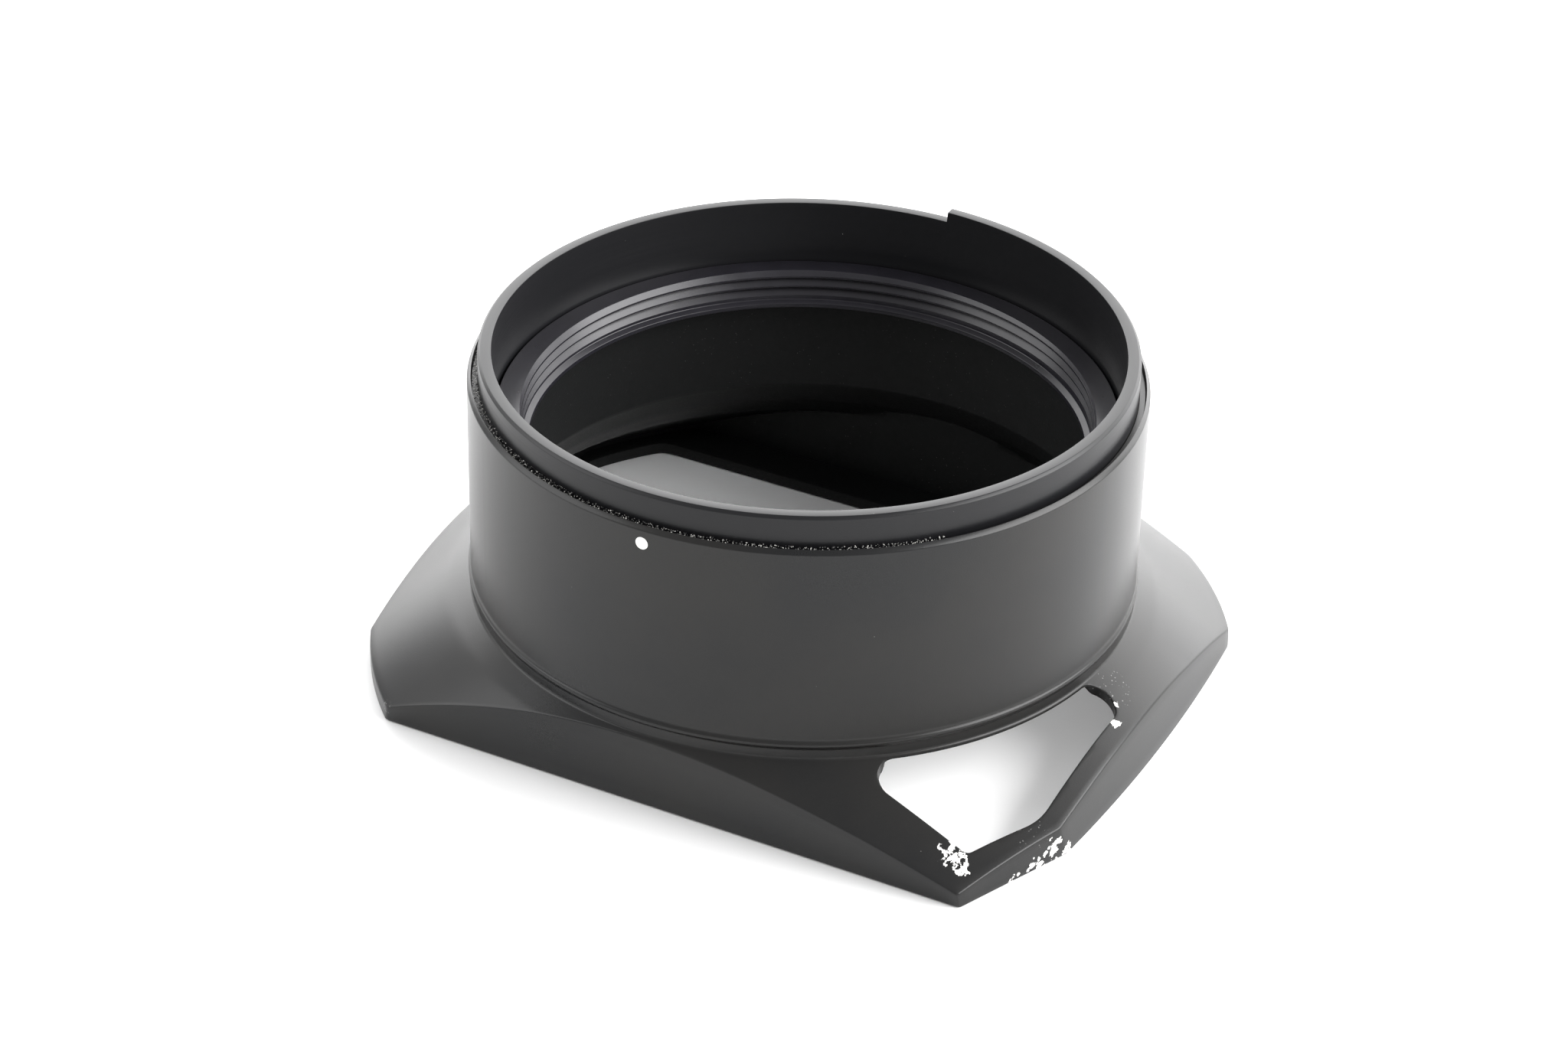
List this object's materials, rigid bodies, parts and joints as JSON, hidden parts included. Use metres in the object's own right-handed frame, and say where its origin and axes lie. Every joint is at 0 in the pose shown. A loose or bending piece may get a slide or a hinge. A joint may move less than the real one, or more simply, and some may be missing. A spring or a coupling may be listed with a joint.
{
  "type": "lens hood",
  "caption": "Rectangular screw-on lens hood for a wide-angle lens, round tube on a domed skirt, with a viewfinder window cut in one corner.",
  "frame": {"origin": "on the optical axis, in the plane of the front mouth that the hood stands on", "axes": "+Z along the optical axis back towards the lens, +X along the long sides of the mouth, the corner with the viewfinder window at +X -Y"},
  "size_m": [0.073, 0.063, 0.033],
  "materials": {
    "black_enamel": "semi-gloss black enamel over aluminium, worn at the edges",
    "black_anodised": "satin black anodised aluminium",
    "ring_anodised": "satin black anodised aluminium with a slight violet tint",
    "white_paint": "white paint filled into a shallow hole"
  },
  "bodies": {
    "root": {"hood_body": "black_enamel", "mount_collar": "black_anodised", "thread_ring": "ring_anodised", "index_dot": "white_paint"}
  },
  "joints": []
}
